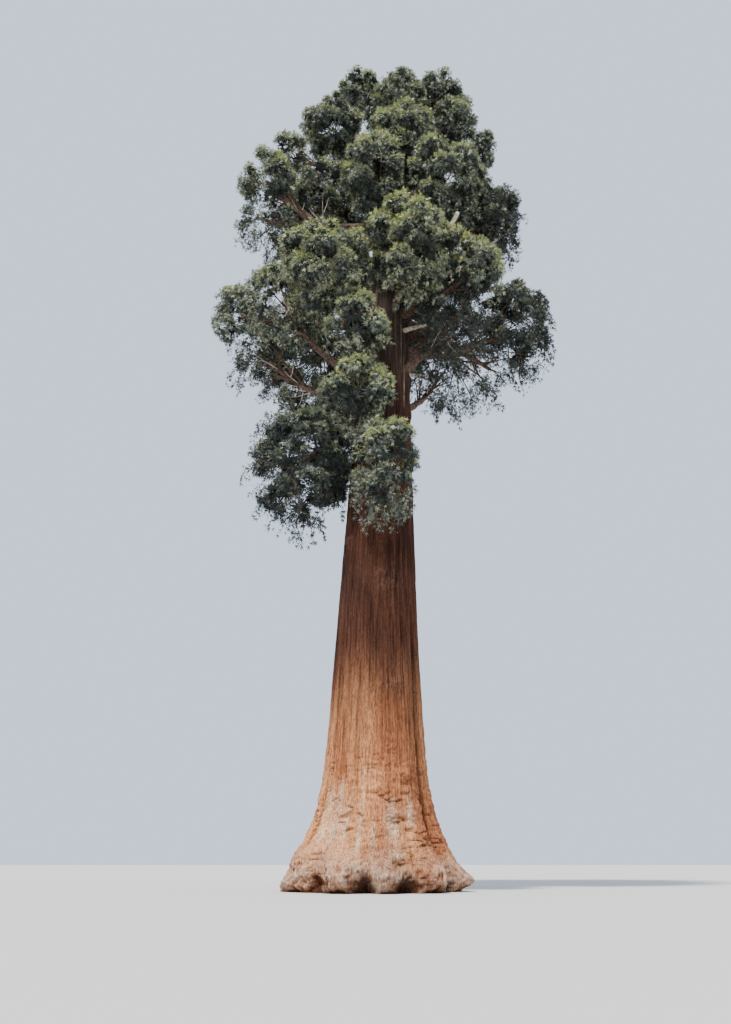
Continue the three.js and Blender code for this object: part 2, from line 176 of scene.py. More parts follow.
# Noise on the bark, in layers: cells round the trunk, height of a cell, seed and strength
BARK_NOISE = {
    "sway": [(7, 5.0, 1, 0.035), (30, 1.6, 2, 0.012)],
    "flute": [(22, 6.0, 3, 1.0)],
    "furrow": [(88, 3.4, 4, 0.5), (190, 1.5, 5, 0.6)],
    "fibre": [(300, 0.5, 6, 1.0)],
    "wave": [(15, 0.15, 7, 1.0)],
    "ripple": [(40, 0.06, 8, 0.5)],
    "lump": [(34, 0.34, 9, 1.0), (84, 0.14, 10, 0.6)],
    "cracked": [(30, 0.3, 11, 1.0)],
    "skin": [(230, 0.08, 12, 1.0)],
    "bleached": [(40, 0.4, 13, 1.0)],
    "craze": [(90, 0.07, 14, 1.0)],
    "jag": [(110, 0.4, 15, 1.0)],
    "gashed": [(70, 0.6, 16, 1.0)],
    "crook": [(6, 2.2, 17, 0.07), (12, 0.5, 18, 0.02)],
}
NOISE_ROWS_BELOW = 2
NOISE_ROWS_SPARE = 6
# Noise that is kept from 0 to 1: its middle, and its swing about that
PATCHES = {
    "furrow": (0.34, -1.2),
    "cracked": (-0.1, 2.4),
    "gashed": (0.75, 1.2),
    "bleached": (0.8, 0.7),
}
# How far one noise shifts another, up the trunk or round it
WAVE_FLUTE = 0.05
WAVE_JAG = 0.015
CRAZE_FLUTE = 0.03
SKIN_TURN = 0.02
SKIN_RISE = 0.05
# How far each feature of the bark stands out, on a trunk of full size
DEPTH = SimpleNamespace(
    flute=0.035, furrow=-0.045, fibre=0.018, wave=0.02, craze=0.022, crack=-0.045,
    fold=-0.18, shaded_gash=-0.05, lump=0.085, skin=0.045, hollow=-0.34)
FULL_RELIEF_RADIUS = 1.7
LEAST_RELIEF = 0.25
# How much painted shade each feature lays on the bark, and how much it greys it
PAINTED_SHADE = SimpleNamespace(furrow=0.55, crack=0.75, hollow=2.2, shaded_pits=0.34, fold=0.95, shaded_gash=0.8, knot=0.7)
GREY = SimpleNamespace(even=0.6, lump=0.5, skin=0.3, knot=0.1)
# How the painted shadow fades out of the hollows, and the painted shade in the pits of the crazing,
# lumps and skin
HOLLOW_FALL = 1.5
CRAZE_PITS = 0.15
LUMP_PITS = 1.2
SKIN_PITS = 1.3
# The crumpled foot, and the burls under it, where furrows and cracks are weaker
FOOT_HEIGHT = 3.9
BURL_HEIGHT = 0.95
BLUNT = 4
FOOT_SMOOTH = 0.5
FOOT_PALE = 0.65
BURL_WHOLE = 0.5
CRACK_WIDTH = 0.12

# Limbs
LIMB_ROOT = 0.06
LIMB_ROOT_PER_REACH = 0.032
LIMB_TAPER = 0.62
LIMB_ELBOW = 0.58
LIMB_SAG = 0.05
LIMB_BEND = 0.012
LIMB_WOBBLE = 0.09
COLLAR = 0.45
COLLAR_LENGTH = 2.2
LIMB_SIDES = 14
LIMB_STEPS = 40

# Masses: region, limb (root height, heading, reach, rise), half sizes along X, Y and Z, how
# open it is (0 for a closed dome, 1 for loose hanging twigs), and its sprays' painted sunlight (painted
# shade below 0)
MASSES = {
    "top_leader": ("top", (36.1, 157, 2.0, 2.1), (1.5, 1.4, 2.15), 0.04, 0),
    "top_middle": ("top", (34.9, 75, 1.0, 1.9), (2.2, 2.2, 2.95), 0.04, 0),
    "top_right": ("top", (36.0, 14, 2.3, 1.8), (1.5, 1.5, 1.55), 0.04, 0),
    "upper_right": ("top", (34.2, 12, 3.15, 1.4), (1.5, 1.6, 2.2), 0.04, 0),
    "right_spur": ("top", (31.7, 4, 4.25, 1.4), (1.05, 1.2, 1.65), 0.04, 0),
    "upper_left": ("top", (33.3, 175, 3.15, 1.2), (1.95, 1.9, 2.15), 0.04, 0),
    "upper_middle": ("top", (30.4, -62, 1.3, 1.4), (2.25, 1.7, 2.9), 0.04, 0),
    "upper_front": ("left", (27.7, -111, 2.05, 0.8), (1.75, 1.75, 3.0), 0.04, 0),
    "left_shoulder": ("left", (31.9, 173, 5.05, 0.8), (1.65, 1.75, 1.85), 0.3, 0),
    "left_arm": ("left", (26.3, -167, 5.75, 2.5), (1.55, 1.75, 2.1), 0.4, 0),
    "left_elbow": ("left", (27.3, -176, 5.7, -0.15), (1.8, 1.9, 1.8), 0.85, -0.2),
    "inner_left": ("left", (28.9, 166, 3.35, 1.0), (2.3, 2.25, 3.0), 0.3, 0),
    "right_crown": ("right", (27.1, -34, 2.85, 1.0), (2.35, 2.3, 3.3), 0.04, 0),
    "right_shoulder": ("right", (26.4, -2, 4.65, 1.15), (1.75, 2.15, 2.9), 0.25, -0.5),
    "front_centre": ("front", (21.6, -71, 3.05, 1.5), (2.3, 2.0, 2.8), 0.04, 0.3),
    "front_left": ("front", (20.9, -132, 3.65, 1.2), (2.5, 2.1, 2.5), 0.04, 0.3),
    "left_mid": ("front", (18.7, -168, 4.35, 3.3), (1.85, 2.0, 2.7), 0.6, 0),
    "left_far": ("low", (21.8, 176, 6.35, 0.6), (1.6, 1.9, 1.8), 0.6, 0),
    "left_low": ("low", (17.9, 170, 4.95, 2.4), (2.05, 2.0, 1.95), 0.95, -0.55),
    "right_front": ("right", (21.7, -36, 4.25, 0.5), (1.5, 1.5, 2.0), 0.04, 0.3),
    "right_mid": ("right", (18.8, -25, 3.1, 2.1), (1.75, 1.85, 2.6), 0.7, -0.65),
    "right_far": ("right", (20.1, 4, 5.65, 1.5), (1.85, 2.25, 2.9), 0.4, -0.6),
    "right_low": ("low", (21.3, 16, 4.75, -1.1), (1.75, 1.9, 1.8), 1.0, -0.75),
    "right_under": ("low", (17.5, 33, 3.0, 2.5), (1.9, 2.0, 1.95), 1.0, -0.8),
    "centre_low": ("front", (18.7, -112, 2.75, 0.6), (1.5, 1.45, 2.0), 0.3, 0.25),
    "low_front_left": ("low", (15.9, -112, 2.6, 0.4), (1.65, 1.5, 2.1), 0.35, 0.15),
    "low_left": ("low", (15.9, -170, 3.15, -1.5), (2.3, 2.05, 3.15), 0.3, -0.65),
    "low_front": ("low", (14.7, -88, 2.65, -1.6), (1.4, 1.5, 2.9), 0.4, -0.1),
    "back_upper": ("back_middle", (32.6, 97, 2.4, 0.6), (2.9, 2.5, 3.9), 0.04, 0),
    "back_left": ("back_left", (27.2, 133, 4.65, 1.8), (2.9, 2.8, 4.1), 0.04, 0),
    "back_right": ("back_right", (29.0, 46, 4.45, 0.4), (2.9, 2.8, 4.1), 0.04, 0),
    "back_middle": ("back_middle", (25.2, 87, 4.1, 0.2), (3.1, 2.7, 4.3), 0.04, 0),
    "back_low_left": ("back_left", (22.4, 136, 5.05, 0.0), (2.9, 2.7, 3.5), 0.35, 0),
    "back_low_right": ("back_right", (22.6, 44, 5.2, -0.2), (2.8, 2.7, 3.3), 0.95, -0.8),
    "back_low": ("back_middle", (18.3, 107, 2.95, -0.4), (2.5, 2.2, 3.5), 0.04, 0),
}

# Dead wood: a bare limb, pale twigs off the limbs of open masses, and short stubs on the
# trunk (heading, height, reach from its axis and rise)
DEAD_LIMB = (23.6, -44, 4.0, 1.6)
DEAD_LIMB_SEED = 90
BARE_TWIGS = {
    "left_mid": 4, "left_low": 4, "left_elbow": 3, "right_mid": 3, "right_low": 3, "right_under": 1}
BARE_SEED = 70
BARE_LENGTH = 1.3
BARE_LEANING = (0, -0.9, 0.35)
BARE_TURN = 0.5
BARE_FORK_TURN = 0.8
BARE_FORK_SHARE = 0.5
STUBS = [
    (-33, 20.85, 1.95, -0.2),
    (-58, 22.3, 2.1, 0.5),
    (-141, 18.9, 2.3, 0.6),
    (-178, 16.1, 1.9, 0.3),
    (35, 19.4, 2.2, 0.4),
    (120, 20.7, 2.1, 0.4),
]
STUB_SEED = 71
STUB_ROOT = 0.7

# Tubes of twigs: radius at the root and at the tip, sides and steps
TWIG_TUBE = (0.016, 0.006, 3, 2)
BRANCH_TUBE = (0.042, 0.018, 5, 5)
BARE_TUBE = (0.024, 0.006, 5, 6)
STUB_TUBE = (0.12, 0.06, 8, 6)
STRAND_TUBE = (0.014, 0.006, 3, 4)
TWIG_BEND = 0.08
TWIG_START = 0.1

# Tufts and clumps
SPACE_GAP = 0.02
TRUNK_GAP = 0.05
TUFT_RADIUS = 0.82
TUFTS_PER_SQUARE_METRE = 3
TUFT_SPREAD = 0.3
TUFT_TURN = 0.5
TUFT_REACH = 0.14
GOLDEN_ANGLE = math.pi * (3 - math.sqrt(5))
CLUMPS_PER_TUFT = 12
CLUMP_RADIUS = 0.42
CLUMP_TURN = 0.3
CLUMP_SEAT = 0.75
CLUMP_BACK = -0.35
CLUMP_INSIDE = 0.4
HIDDEN = 0.82
FOLIAGE_SHARE = 0.94
FOLIAGE_SEED = 100
# The clumps round the trunk's tip
TIP_MASS = "top_middle"
TIP_CLUMPS = 24
TIP_CLUMP_HEIGHTS = (35.6, 38.0)
TIP_CLUMP_SIZE = 0.8
# How likely a clump hangs loose, by how low it is in its mass and in its tuft
LOOSE_MIDDLE = 0.75
LOOSE_SLOPE = 0.6
FRINGE = 0.3
FRINGE_START = 0.3
UNDER_START = 0.05
THINNING = 0.62
UNFILLED = 1.1

# Sprays
SHOULDER = 0.3
SHOULDER_BACK = 0.25
SPRAY_CUP = 0.16
SPRAY_BEND = 0.9
SPRAY_WIDTH = 0.2
REACH = 0.96
TIP_REACH = 0.01
DROOP = 0.1
# Sprays on the skin of a clump
SPRAYS_PER_CLUMP = 96
BACK_SPRAYS_PER_CLUMP = 64
LEAST_SPRAYS = 8
SPRAY_LENGTH = 0.16
DOME_HEIGHT = 0.85
DOME_OUTWARD = 0.8
DOME_UP = 0.35
DOME_UNDER = 0.45
DOME_ALONG = (0.65, 0.6, 0.4)
DOME_FACES = (0.3, 0.2, 0.6)
DOME_FRINGE = 0.15
DOME_FRINGE_MOST = 0.5
DOME_FRINGE_LENGTH = 0.6
# Painted light on a dome's sprays: lighter looks the more a spray faces up and out
DOME_LIGHT = (0.1, 0.6, 0.5, 0.2)
# Sprays under the skin of a clump, dark with painted shade
SHADE_SPRAYS = 12
SHADE_LENGTH = 0.36
SHADE_THINNING = 0.5
SHADE_OUTWARD = 0.6
SHADE_DEPTH = 0.3
SHADE_TURN = 0.2
SHADE_DEEP = 0.7
# Loose strands and their sprays
STRANDS_PER_CLUMP = 4
STRAND_LENGTH = 0.85
STRAND_START = 0.2
STRAND_LEVEL = 0.4
STRAND_TURN = 0.6
STRAND_KNEE = 0.45
STRAND_FALL = 0.6
STRAND_FORWARD = 0.35
STRAND_SPRAYS = 24
STRAND_TUFTS = (0.4, 0.72, 1.0)
STRAND_TUFT_SPREAD = 0.04
STRAND_TUFT_RADIUS = 0.05
STRAND_SPRAY_LENGTH = 0.14
STRAND_ALONG = (0.6, 0.6)
STRAND_FACE_TURN = 0.7
# Painted light on a strand's sprays: lighter the higher it hangs in its mass and the more it faces up
STRAND_LIGHT = (0.25, 0.15, 0.1)
HANGING_REACH = 1.01
HANGING_DROP = 0.3
HANGING_DROOP = 0.3
# Sprays inside the tufts of a dense mass, dark with painted shade
INNER_SPRAYS = 16
INNER_START = 0.1
INNER_LENGTH = 0.44

# Colours from 0 to 255 as they look on a screen, light then dark; for wood, its flecks too
BARK_FOOT = ((244, 177, 124), (198, 129, 88))
# The stem's and the crown's bark: its own red-brown, darkened with painted shade of the crown
BARK_STEM_SHADED = ((110, 71, 53), (78, 50, 39))
BARK_CROWN_SHADED = ((90, 79, 72), (64, 57, 53))
BARK_PALE = (252, 224, 190)
BARK_BURL = (220, 192, 168)
WOODS = {
    "limb_bark": ((112, 92, 80), (62, 50, 44), 9.0),
    "twig_bark": ((104, 86, 74), (66, 54, 46), 6.0),
    "dead_wood": ((224, 212, 194), (160, 146, 130), 8.0),
}
# Leaf colours with painted light and shade, from the shaded sprays to the sunlit tips, then the withered
# ones in their own colour
LEAVES = {
    "leaf_painted_shade": ((60, 67, 61), (46, 52, 49)),
    "leaf_painted_sky_shade": ((103, 110, 101), (86, 93, 86)),
    "leaf_olive": ((146, 153, 126), (128, 134, 112)),
    "leaf_painted_light": ((172, 178, 134), (152, 158, 120)),
    "leaf_painted_sunlit": ((194, 200, 134), (174, 180, 120)),
    "leaf_brown": ((136, 112, 86), (106, 88, 68)),
}
SHADED_LOOK, SKY_SHADED_LOOK, *_, BROWN = range(len(LEAVES))
LOOK_LEVELS = (-0.25, 0.15, 0.6, 1.05)
LOOK_SPREAD = 0.32
BROWN_SHARE = 0.008

UP = np.array([0.0, 0.0, 1.0])
TINY = 1e-9
STEEP = 0.8
FLIPPED = [0, 2, 1]


def dice(seed):
    """Repeatable random numbers from 0 to 1."""
    state = seed * 7919

    def roll():
        nonlocal state
        state = (state * 1664525 + 1013904223) % 2 ** 32
        return state / 2 ** 32

    return roll


def spread(rng, *shape, least, more):
    """Random numbers from the least up to so much more."""
    return least + more * rng.rand(*shape)


def unit(vectors):
    return vectors / np.maximum(np.linalg.norm(vectors, axis=-1, keepdims=True), TINY)


def facing(turn):
    """Level directions at turns in radians."""
    return np.stack([np.cos(turn), np.sin(turn), 0 * turn], -1)


def blend(weights, *parts):
    """Parts added up by their weights."""
    return sum(weight * part for weight, part in zip(weights, parts))


def curve(start, middle, end, share):
    """Points on a curve from start to end that is drawn towards middle."""
    return (1 - share) ** 2 * start + 2 * share * (1 - share) * middle + share ** 2 * end


def bell(value, width, power=2):
    """1 where the value is 0, and near 0 beyond the width."""
    return np.exp(-((value / width) ** power))


# Meshes


def new_mesh(name, points, triangles, materials, smooth=True):
    """A mesh from arrays of points and triangles."""
    mesh = bpy.data.meshes.new(name)
    mesh.vertices.add(len(points))
    mesh.vertices.foreach_set("co", np.asarray(points, np.float32).ravel())
    mesh.loops.add(triangles.size)
    mesh.loops.foreach_set("vertex_index", np.asarray(triangles, np.int32).ravel())
    mesh.polygons.add(len(triangles))
    mesh.polygons.foreach_set("loop_start", np.arange(0, triangles.size, 3, dtype=np.int32))
    mesh.polygons.foreach_set("use_smooth", np.full(len(triangles), smooth))
    for material in materials:
        mesh.materials.append(material)
    mesh.update(calc_edges=True)
    return mesh


def paint_marks(mesh, marks):
    """Each point's three marks, which the bark's material reads: painted shade, paleness and greyness.
    """
    layer = mesh.color_attributes.new("marks", "FLOAT_COLOR", "POINT")
    colours = np.ones((len(marks), 4), np.float32)
    colours[:, :3] = marks
    layer.data.foreach_set("color", colours.ravel())


def placed(name, data):
    made = bpy.data.objects.new(name, data)
    bpy.context.scene.collection.objects.link(made)
    return made


def add_piece(mesh, nodes=()):
    """A mesh as a piece that rides on the tree and stands for some of its solids."""
    piece = placed(mesh.name, mesh)
    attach(piece, "root")
    if nodes:
        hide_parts(*nodes)


def ring_triangles(rings, sides):
    """Triangles between closed rings of points, facing out."""
    ring, side = np.meshgrid(np.arange(rings - 1), np.arange(sides), indexing="ij")
    a = ring * sides + side
    b = ring * sides + (side + 1) % sides
    c = a + sides
    d = b + sides
    return np.concatenate([np.stack(corners, -1).reshape(-1, 3) for corners in ([a, b, d], [a, d, c])])


def fan(middle, rim, sides):
    """Triangles from a middle point to a closed rim of points."""
    first = np.arange(sides)
    return np.stack([np.full(sides, middle), rim + first, rim + (first + 1) % sides], -1)


def copies(triangles, count, step):
    """Triangles for several equal shapes, each with as many points as the step."""
    return (triangles[None] + step * np.arange(count)[:, None, None]).reshape(-1, 3)


def tubes(centres, radii, sides, wobble=1.0):
    """Closed tapering tubes along lines of points: (tubes, steps, 3) and (tubes, steps)."""
    count, steps, _ = centres.shape
    along = unit(np.gradient(centres, axis=1))
    chord = unit(centres[:, -1] - centres[:, 0])
    upright = np.abs(chord[:, 2:]) > STEEP
    guide = np.where(upright, [1.0, 0.0, 0.0], UP)[:, None, :]
    side = unit(np.cross(along, guide))[:, :, None]
    over = np.cross(side, along[:, :, None])
    turn = np.arange(sides) * (2 * math.pi / sides)
    around = np.cos(turn)[:, None] * side + np.sin(turn)[:, None] * over
    rings = centres[:, :, None] + (radii[:, :, None] * wobble)[..., None] * around
    points = [rings.reshape(count, steps * sides, 3), centres[:, :1], centres[:, -1:]]
    points = np.concatenate(points, axis=1)
    body = ring_triangles(steps, sides)[:, ::-1]
    root = fan(steps * sides, 0, sides)
    tip = fan(steps * sides + 1, (steps - 1) * sides, sides)[:, FLIPPED]
    one = np.concatenate([body, root, tip])
    return points.reshape(-1, 3), copies(one, count, points.shape[1])


def curved_tubes(starts, middles, ends, tube):
    """Tapering tubes from each start to its end, drawn towards its middle."""
    thick, thin, sides, steps = tube
    share = np.linspace(0, 1, steps)[None, :, None]
    line = curve(starts[:, None], middles[:, None], ends[:, None], share)
    radii = np.broadcast_to(thick + (thin - thick) * share[..., 0], line.shape[:2])
    return tubes(line, radii, sides)


def joined(parts):
    """Joins (points, triangles, ...) parts into one, with their triangles renumbered."""
    parts = [part for part in parts if len(part[0])]
    starts = np.cumsum([0] + [len(part[0]) for part in parts[:-1]])
    points = np.concatenate([part[0] for part in parts])
    triangles = np.concatenate([part[1] + start for part, start in zip(parts, starts)])
    extras = [np.concatenate([part[k] for part in parts]) for k in range(2, len(parts[0]))]
    return (points, triangles, *extras)


# Materials


def add_node(tree, kind, **values):
    """A new node, with sockets set by name."""
    made = tree.nodes.new(kind)
    for name, value in values.items():
        made.inputs[name.replace("_", " ")].default_value = value
    return made


def mixed(tree, share, first, second, blend_type="MIX"):
    """A mix of two colours; share, first and second are sockets or values."""
    mix = tree.nodes.new("ShaderNodeMix")
    mix.data_type = "RGBA"
    mix.blend_type = blend_type
    for number, value in ((0, share), (6, first), (7, second)):
        if isinstance(value, bpy.types.NodeSocket):
            tree.links.new(value, mix.inputs[number])
        else:
            mix.inputs[number].default_value = value
    return mix.outputs[2]


def shaded(tree, colour, shade):
    """A colour multiplied by a shade."""
    return mixed(tree, 1.0, colour, shade, "MULTIPLY")


def ramp(tree, value, low, high):
    """0 below low, 1 above high, smooth between."""
    made = add_node(tree, "ShaderNodeMapRange", From_Min=low, From_Max=high)
    made.interpolation_type = "SMOOTHSTEP"
    tree.links.new(value, made.inputs["Value"])
    return made.outputs["Result"]


def times(tree, first, second):
    made = tree.nodes.new("ShaderNodeMath")
    made.operation = "MULTIPLY"
    tree.links.new(first, made.inputs[0])
    tree.links.new(second, made.inputs[1])
    return made.outputs[0]


def grain(tree, scale, detail, roughness):
    """Noise in the tree's own space, stretched by scale along X, Y and Z."""
    place = tree.nodes.new("ShaderNodeTexCoord")
    stretched = add_node(tree, "ShaderNodeMapping", Scale=scale)
    tree.links.new(place.outputs["Object"], stretched.inputs["Vector"])
    noise = add_node(tree, "ShaderNodeTexNoise", Scale=1.0, Detail=detail, Roughness=roughness)
    tree.links.new(stretched.outputs["Vector"], noise.inputs["Vector"])
    return noise.outputs["Fac"]


def height_of(tree):
    place = tree.nodes.new("ShaderNodeTexCoord")
    split = tree.nodes.new("ShaderNodeSeparateXYZ")
    tree.links.new(place.outputs["Object"], split.inputs["Vector"])
    return split.outputs["Z"]


def new_material(name, roughness, specular):
    """A material, its node tree and its shader."""
    material = bpy.data.materials.new(name)
    material.use_nodes = True
    shader = material.node_tree.nodes["Principled BSDF"]
    shader.inputs["Roughness"].default_value = roughness
    shader.inputs["Specular IOR Level"].default_value = specular
    return material, material.node_tree, shader


def rgb(red, green, blue):
    """A colour from 0 to 255 as it looks on a screen, made linear."""
    def linear(value):
        value /= 255
        return value / 12.92 if value <= 0.04045 else ((value + 0.055) / 1.055) ** 2.4
    return (linear(red), linear(green), linear(blue), 1.0)


def two_tone(tree, pattern, first, second):
    """One colour where a pattern is low, and another where it is high."""
    return mixed(tree, ramp(tree, pattern, low=0.35, high=0.65), rgb(*first), rgb(*second))


def bump(tree, shader, pattern, strength, distance):
    made = add_node(tree, "ShaderNodeBump", Strength=strength, Distance=distance)
    tree.links.new(pattern, made.inputs["Height"])
    tree.links.new(made.outputs["Normal"], shader.inputs["Normal"])


def bark_material():
    """Red-brown bark, tan at the foot, darker up the stem and in the crown partly with painted shade of
    the crown, with the marks that its points carry.
    """
    material, tree, shader = new_material("bark", roughness=0.92, specular=0.12)
    marks = tree.nodes.new("ShaderNodeVertexColor")
    marks.layer_name = "marks"
    split = tree.nodes.new("ShaderNodeSeparateColor")
    tree.links.new(marks.outputs["Color"], split.inputs["Color"])
    dark, pale, burl = (split.outputs[name] for name in ("Red", "Green", "Blue"))
    fibre = grain(tree, scale=(24.0, 24.0, 0.9), detail=6.0, roughness=0.75)
    patch = grain(tree, scale=(0.8, 0.8, 0.2), detail=3.0, roughness=0.5)
    fine = grain(tree, scale=(30.0, 30.0, 9.0), detail=5.0, roughness=0.7)
    # Darker up the stem and in the crown: partly the bark's own colour, partly painted shade of the
    # crown
    above_foot = ramp(tree, height_of(tree), low=2.8, high=7.6)
    in_crown = ramp(tree, height_of(tree), low=14.0, high=21.0)
    foot, stem, crown = (two_tone(tree, patch, *pair) for pair in (BARK_FOOT, BARK_STEM_SHADED, BARK_CROWN_SHADED))
    colour = mixed(tree, in_crown, mixed(tree, above_foot, foot, stem), crown)
    streaked = times(tree, pale, ramp(tree, fine, low=0.2, high=0.55))
    colour = mixed(tree, streaked, colour, rgb(*BARK_PALE))
    greyed = times(tree, burl, ramp(tree, fine, low=0.1, high=0.5))
    colour = mixed(tree, greyed, colour, rgb(*BARK_BURL))
    furrowed = shaded(tree, colour, shade=(0.5, 0.43, 0.4, 1))
    colour = mixed(tree, ramp(tree, fibre, low=0.36, high=0.62), furrowed, colour)
    pitted = shaded(tree, colour, shade=(0.52, 0.44, 0.4, 1))
    colour = mixed(tree, ramp(tree, fine, low=0.34, high=0.56), pitted, colour)
    # The first mark darkens the bark with painted shade in its recesses and hollows
    colour = mixed(tree, dark, colour, shaded(tree, colour, shade=(0.13, 0.09, 0.08, 1)))
    tree.links.new(colour, shader.inputs["Base Color"])
    bump(tree, shader, fibre, strength=0.8, distance=0.05)
    return material


def wood_material(name):
    """Rough wood or bark of a limb, with flecks."""
    light, dark, scale = WOODS[name]
    material, tree, shader = new_material(name, roughness=0.9, specular=0.15)
    flecks = grain(tree, scale=(scale, scale, scale), detail=5.0, roughness=0.65)
    tree.links.new(two_tone(tree, flecks, dark, light), shader.inputs["Base Color"])
    bump(tree, shader, flecks, strength=0.5, distance=0.02)
    return material


def leaf_material(name):
    """A plain leaf colour that varies a little through the crown."""
    light, dark = LEAVES[name]
    material, tree, shader = new_material(name, roughness=0.62, specular=0.3)
    flecks = grain(tree, scale=(3.0, 3.0, 3.0), detail=2.0, roughness=0.5)
    tree.links.new(two_tone(tree, flecks, dark, light), shader.inputs["Base Color"])
    return material


# Trunk


def trunk_axis(height):
    """Points on the trunk's leaning axis."""
    height = np.asarray(height, float)
    lean = TOP_LEAN * (np.maximum(height, 0) / TREE_TOP) ** LEAN_POWER
    return np.stack([lean, np.zeros_like(height), height], -1)


def mean_radius(height):
    """The trunk's radius at a height, without its burls and creases."""
    stem = STEM_RADIUS * (1 - np.asarray(height) / STEM_END) ** STEM_TAPER
    skirt = SKIRT_RADIUS * bell(height, SKIRT_HEIGHT)
    return stem + skirt + SWELL_RADIUS * np.exp(-height / SWELL_HEIGHT)


def turned(angle, heading):
    """The turn to an angle from a heading in degrees, from -pi to pi."""
    return (angle - math.radians(heading) + math.pi) % (2 * math.pi) - math.pi


def nearness(angle, heading, width):
    """1 at a heading, and near 0 beyond its width, both in degrees."""
    return bell(turned(angle, heading), math.radians(width))


def trunk_radius(height, angle):
    """The trunk's radius with its burls and creases."""
    radius = mean_radius(height)
    for heading, width, out, crest, slope in BURLS:
        radius = radius + out * bell(height - crest, slope) * nearness(angle, heading, width)
    for heading, width, depth, fade in CREASES:
        radius = radius - depth * np.exp(-height / fade) * nearness(angle, heading, width)
    return radius


def cell_noise(angle, height, columns, cell, seed):
    """Smooth noise from -1 to 1 on the trunk: columns cells round it, each cell high."""
    rows = int(TREE_TOP / cell) + NOISE_ROWS_SPARE
    grid = np.random.RandomState(seed).rand(rows, columns) * 2 - 1
    across = (angle / (2 * math.pi)) * columns
    up = height / cell + NOISE_ROWS_BELOW
    column = np.floor(across).astype(int)
    row = np.clip(np.floor(up).astype(int), 0, rows - 2)
    part = across - column
    rise = np.clip(up - row, 0, 1)
    part = part * part * (3 - 2 * part)
    rise = rise * rise * (3 - 2 * rise)
    here = column % columns
    there = (column + 1) % columns
    low, high = (grid[near, here] * (1 - part) + grid[near, there] * part for near in (row, row + 1))
    return low * (1 - rise) + high * rise


def bark_noise(name, angle, height):
    """The layers of one noise on the bark, together."""
    return sum(
        strength * cell_noise(angle, height, columns, cell, seed)
        for columns, cell, seed, strength in BARK_NOISE[name])


def patches(name, angle, height):
    """A noise on the bark kept from 0 to 1."""
    middle, swing = PATCHES[name]
    return np.clip(middle + swing * bark_noise(name, angle, height), 0, 1)


def hollows(height, angle):
    """The hollows between the burls and under them, from 0 to 1; they sink the bark and carry painted
    shadow.
    """
    spots = [(heading, width, UNDERCUT, UNDERCUT_HEIGHT) for heading, width, *_ in BURLS]
    for heading, width, _, fade in CREASES:
        spots.append((heading, width, 1.0 if fade < SHORT_CREASE else LONG_CREASE_HOLLOW, HOLLOW_HEIGHT))
    hollow = np.zeros_like(height)
    for heading, width, share, reach in spots:
        hollow = np.maximum(hollow, share * nearness(angle, heading, width) * bell(height, reach))
    return hollow


def bands(rows, fades, height, angle):
    """1 along bands up the bark, fading at both ends, and 0 between them."""
    rise, fall = fades
    band = np.zeros_like(height)
    for heading, width, lowest, highest, strength in rows:
        reach = np.clip((height - lowest) / rise, 0, 1) * np.clip((highest - height) / fall, 0, 1)
        band = np.maximum(band, strength * reach * nearness(angle, heading, width))
    return band


def ledges(height, angle, jag):
    """How far the ledges stand out, and the gashes under them, from 0 to 1; the gashes also carry the
    ledges' painted shadow.
    """
    ledge = np.zeros_like(height)
    shaded_gash = np.zeros_like(height)
    for heading, width, level, out in LEDGES:
        near = nearness(angle, heading, width)
        ledge = ledge + out * near * bell(height - level, LEDGE_SLOPE)
        shaded_gash = np.maximum(shaded_gash, near * bell(height - level + GASH_DROP + GASH_JAG * jag, GASH_WIDTH))
    return ledge, shaded_gash * patches("gashed", angle, height)


def knots(height, angle, base, lump):
    """How far the knots stand out, and where they are, from 0 to 1."""
    knot = np.zeros_like(height)
    knotty = np.zeros_like(height)
    for heading, middle, radius, out in KNOTS:
        away = ((turned(angle, heading) * base) ** 2 + (height - middle) ** 2) / radius ** 2
        knot = knot + out * np.exp(-away) * (1 + KNOT_LUMPS * lump)
        knotty = np.maximum(knotty, np.exp(-away))
    return knot, knotty


